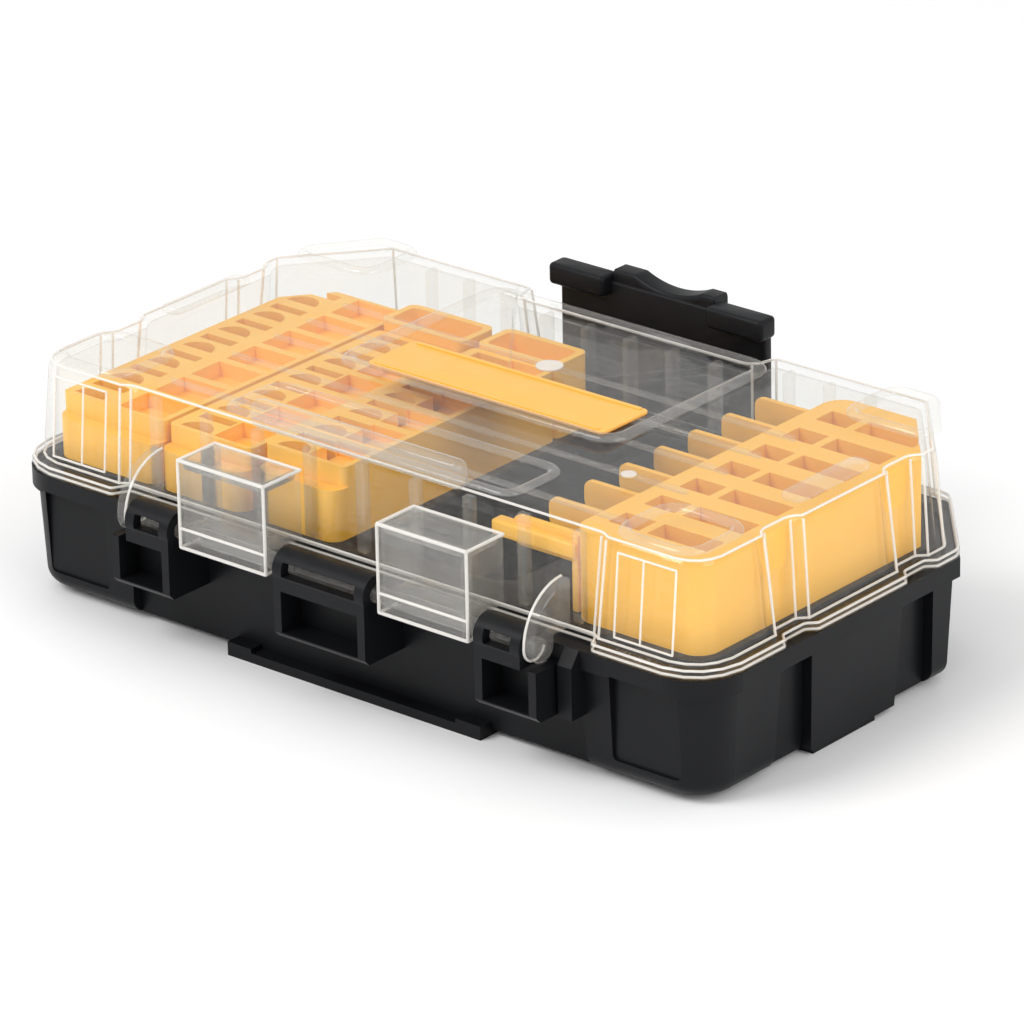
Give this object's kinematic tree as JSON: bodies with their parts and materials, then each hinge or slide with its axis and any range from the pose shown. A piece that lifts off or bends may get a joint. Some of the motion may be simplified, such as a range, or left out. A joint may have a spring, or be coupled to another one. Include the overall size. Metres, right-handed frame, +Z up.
{
  "type": "bit set case",
  "caption": "Small tool bit case with a black base, clear hinged lid, rear latch and yellow bit racks on a tray.",
  "frame": {"origin": "on the rest face under the base, at the middle of the rim's length and depth", "axes": "+X along the case, +Y from the hinge to the latch, +Z up"},
  "size_m": [0.23, 0.1428, 0.0725],
  "materials": {
    "black_body": "fine moulded texture, black",
    "black_tray": "smooth moulded, dark grey black",
    "yellow_rack": "satin moulded, warm yellow",
    "clear_lid": "clear moulded plastic with polished faces"
  },
  "bodies": {
    "base": {"base_shell": "black_body", "inner_tray": "black_tray", "left_rack": "yellow_rack", "middle_rack": "yellow_rack", "inner_rack": "yellow_rack", "middle_block": "yellow_rack", "inner_block": "yellow_rack", "right_rack": "yellow_rack", "finger_comb": "yellow_rack"},
    "lid": {"lid": "clear_lid"},
    "latch": {"latch": "black_body"}
  },
  "joints": [
    {"name": "lid_hinge", "type": "hinge", "parent": "base", "child": "lid", "pos_m": [0, -0.069, 0.0347], "axis": [1, 0, 0], "range_deg": [0, 110]},
    {"name": "latch_hinge", "type": "hinge", "parent": "base", "child": "latch", "pos_m": [0, 0.0634, 0.018], "axis": [-1, 0, 0], "range_deg": [0, 100]}
  ],
  "couplings": [
    {"joint": "latch_hinge", "follows": "lid_hinge", "ratio": 0.9}
  ]
}
